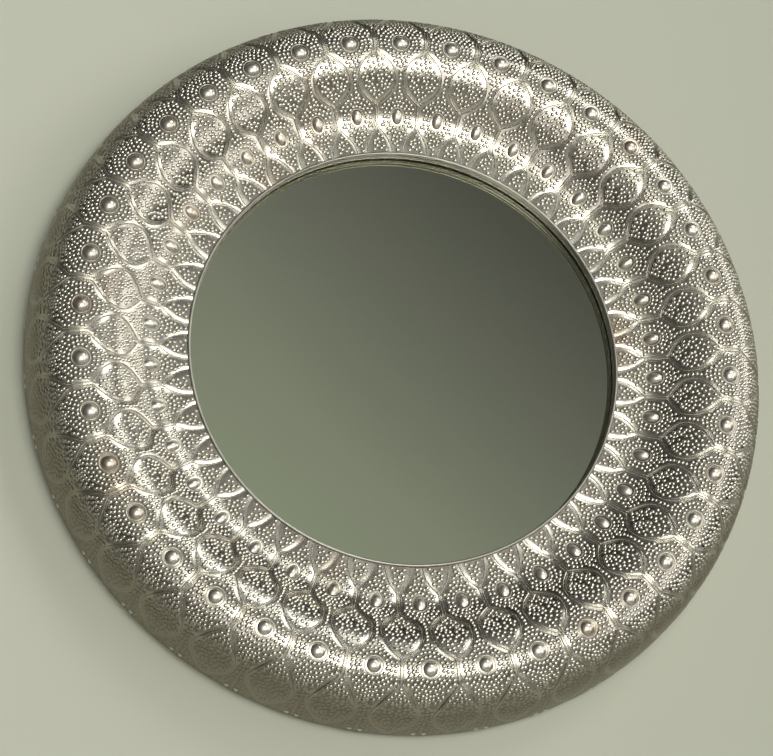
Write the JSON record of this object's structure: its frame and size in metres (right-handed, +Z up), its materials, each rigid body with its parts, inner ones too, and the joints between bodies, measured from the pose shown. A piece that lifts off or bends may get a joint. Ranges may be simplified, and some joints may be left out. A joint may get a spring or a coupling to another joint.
{
  "type": "round wall mirror",
  "caption": "Round wall mirror in a wide moulded frame of embossed silver sheet metal over a wooden core, with a D-ring hanger in the back.",
  "frame": {"origin": "point of the wall plane straight behind the centre of the pane", "axes": "+X to the right seen from the room, +Z up, +Y into the wall; the mirror faces -Y"},
  "size_m": [0.6014, 0.0632, 0.6014],
  "materials": {
    "embossed_sheet": "embossed bright silver-coloured sheet with a warm tone",
    "liner_metal": "plain polished band",
    "core_wood": "turned fibreboard, bare",
    "plywood": "plywood, bare",
    "mirror": "silvered float glass, polished",
    "spacer": "cork",
    "card": "corrugated board",
    "board": "hardboard",
    "zinc_steel": "zinc-plated",
    "pin_metal": "bright heads",
    "bumper_rubber": "matte"
  },
  "bodies": {
    "root_frame": {"embossed_cover": "embossed_sheet", "sight_liner": "liner_metal", "core_front_ring": "core_wood", "core_middle_ring": "core_wood", "core_lip_ring": "core_wood", "back_ring": "plywood", "mirror_glass": "mirror", "glass_spacers": "spacer", "padding_board": "card", "backing_board": "board", "turn_button_screws": "zinc_steel", "hanger_strap": "zinc_steel", "hanger_screws": "zinc_steel", "ring_screws": "zinc_steel", "cover_tacks": "zinc_steel", "rim_pins": "pin_metal", "liner_pins": "pin_metal", "wall_bumpers": "bumper_rubber"},
    "turn_button_1": {"turn_button_1": "zinc_steel"},
    "turn_button_2": {"turn_button_2": "zinc_steel"},
    "turn_button_3": {"turn_button_3": "zinc_steel"},
    "turn_button_4": {"turn_button_4": "zinc_steel"},
    "hanger_ring": {"hanger_ring": "zinc_steel"}
  },
  "joints": [
    {"name": "turn_button_1_turn", "type": "hinge", "parent": "root_frame", "child": "turn_button_1", "pos_m": [0.13435, -0.00225, 0.13435], "axis": [0, 1, 0], "continuous": true},
    {"name": "turn_button_2_turn", "type": "hinge", "parent": "root_frame", "child": "turn_button_2", "pos_m": [-0.13435, -0.00225, 0.13435], "axis": [0, 1, 0], "continuous": true},
    {"name": "turn_button_3_turn", "type": "hinge", "parent": "root_frame", "child": "turn_button_3", "pos_m": [-0.13435, -0.00225, -0.13435], "axis": [0, 1, 0], "continuous": true},
    {"name": "turn_button_4_turn", "type": "hinge", "parent": "root_frame", "child": "turn_button_4", "pos_m": [0.13435, -0.00225, -0.13435], "axis": [0, 1, 0], "continuous": true},
    {"name": "hanger_ring_swing", "type": "hinge", "parent": "root_frame", "child": "hanger_ring", "pos_m": [0, -0.00757, 0.252], "axis": [1, 0, 0], "range_deg": [-170, 0]}
  ]
}
